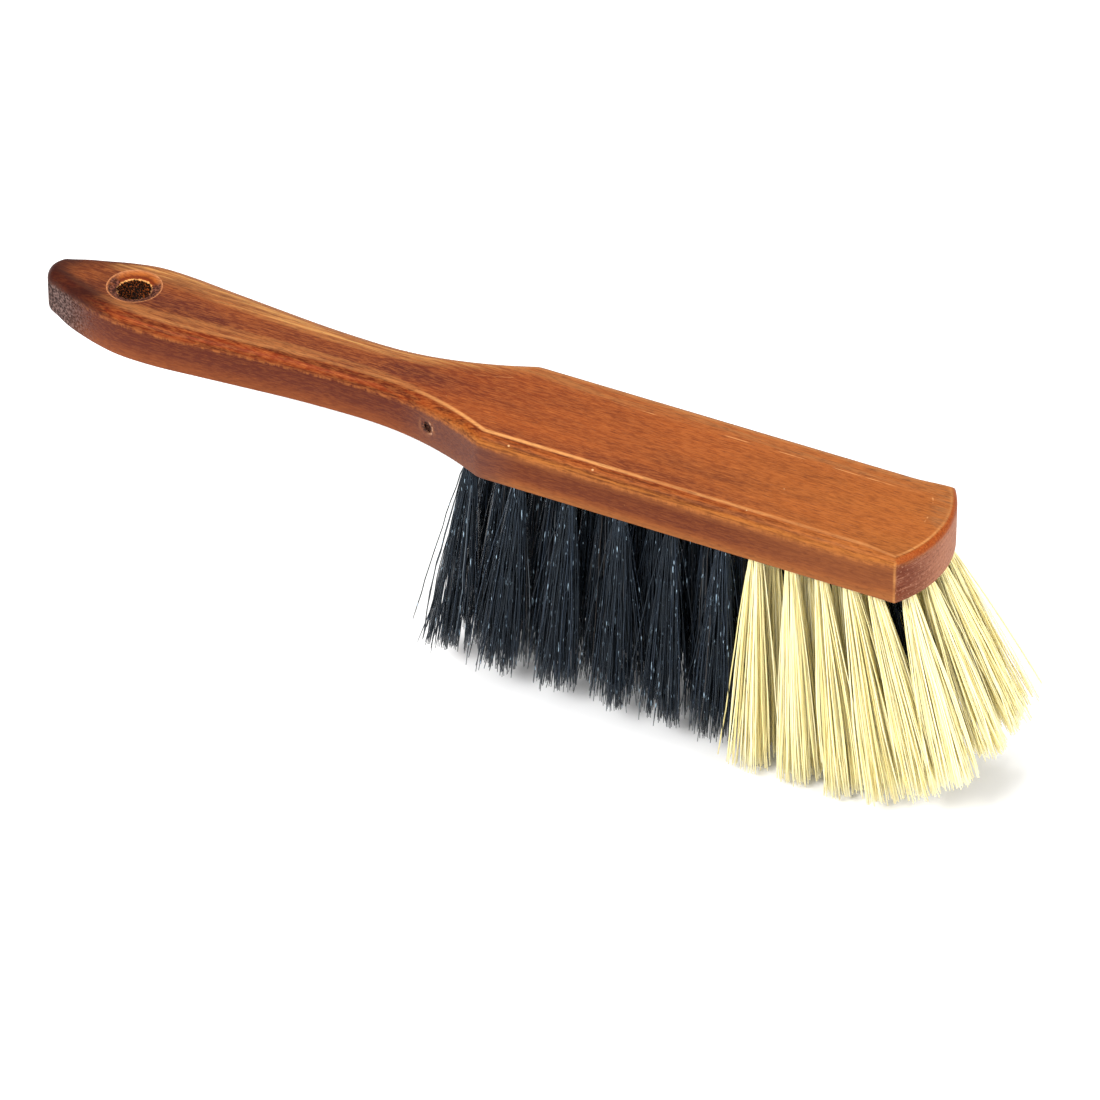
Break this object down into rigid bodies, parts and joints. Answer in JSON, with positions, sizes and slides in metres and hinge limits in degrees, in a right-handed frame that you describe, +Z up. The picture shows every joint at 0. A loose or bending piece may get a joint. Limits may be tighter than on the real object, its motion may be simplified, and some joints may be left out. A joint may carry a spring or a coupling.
{
  "type": "bee brush",
  "caption": "Flat wooden hand brush with a pierced, waisted handle; tufts of black bristle down the block and a fan of cream bristle round its nose.",
  "frame": {"origin": "centre of the object's box, on the surface that the longest bristle tips touch; the board is level above it", "axes": "+X along the brush from the handle's tip to the nose, +Z up out of the board's top face, +Y to the left as seen from the handle, across the plane of symmetry"},
  "size_m": [0.3102, 0.0474, 0.0889],
  "materials": {
    "beech": "stained red-brown and lacquered, satin to glossy",
    "black_bristle": "blue-black filament bristle with a glossy streak along each filament",
    "cream_bristle": "pale straw-coloured filament bristle, satin",
    "anchor_wire": "flat drawn steel wire, for the staples that anchor the tufts, which only the visual model holds"
  },
  "bodies": {
    "root": {"black_tuft_left_inner_1": "black_bristle", "black_tuft_left_inner_2": "black_bristle", "black_tuft_left_inner_3": "black_bristle", "black_tuft_left_inner_4": "black_bristle", "black_tuft_left_inner_5": "black_bristle", "black_tuft_left_inner_6": "black_bristle", "black_tuft_left_outer_1": "black_bristle", "black_tuft_left_outer_2": "black_bristle", "black_tuft_left_outer_3": "black_bristle", "black_tuft_left_outer_4": "black_bristle", "black_tuft_left_outer_5": "black_bristle", "black_tuft_left_outer_6": "black_bristle", "black_tuft_middle_1": "black_bristle", "black_tuft_middle_10": "black_bristle", "black_tuft_middle_2": "black_bristle", "black_tuft_middle_3": "black_bristle", "black_tuft_middle_4": "black_bristle", "black_tuft_middle_5": "black_bristle", "black_tuft_middle_6": "black_bristle", "black_tuft_middle_7": "black_bristle", "black_tuft_middle_8": "black_bristle", "black_tuft_middle_9": "black_bristle", "black_tuft_right_inner_1": "black_bristle", "black_tuft_right_inner_2": "black_bristle", "black_tuft_right_inner_3": "black_bristle", "black_tuft_right_inner_4": "black_bristle", "black_tuft_right_inner_5": "black_bristle", "black_tuft_right_inner_6": "black_bristle", "black_tuft_right_outer_1": "black_bristle", "black_tuft_right_outer_2": "black_bristle", "black_tuft_right_outer_3": "black_bristle", "black_tuft_right_outer_4": "black_bristle", "black_tuft_right_outer_5": "black_bristle", "black_tuft_right_outer_6": "black_bristle", "cream_tuft_left_inner_1": "cream_bristle", "cream_tuft_left_inner_2": "cream_bristle", "cream_tuft_left_inner_3": "cream_bristle", "cream_tuft_left_inner_4": "cream_bristle", "cream_tuft_left_outer_1": "cream_bristle", "cream_tuft_left_outer_2": "cream_bristle", "cream_tuft_left_outer_3": "cream_bristle", "cream_tuft_left_outer_4": "cream_bristle", "cream_tuft_left_outer_5": "cream_bristle", "cream_tuft_nose_1": "cream_bristle", "cream_tuft_nose_2": "cream_bristle", "cream_tuft_nose_3": "cream_bristle", "cream_tuft_nose_4": "cream_bristle", "cream_tuft_right_inner_1": "cream_bristle", "cream_tuft_right_inner_2": "cream_bristle", "cream_tuft_right_inner_3": "cream_bristle", "cream_tuft_right_inner_4": "cream_bristle", "cream_tuft_right_outer_1": "cream_bristle", "cream_tuft_right_outer_2": "cream_bristle", "cream_tuft_right_outer_3": "cream_bristle", "cream_tuft_right_outer_4": "cream_bristle", "cream_tuft_right_outer_5": "cream_bristle", "handle_and_block": "beech"}
  },
  "joints": []
}
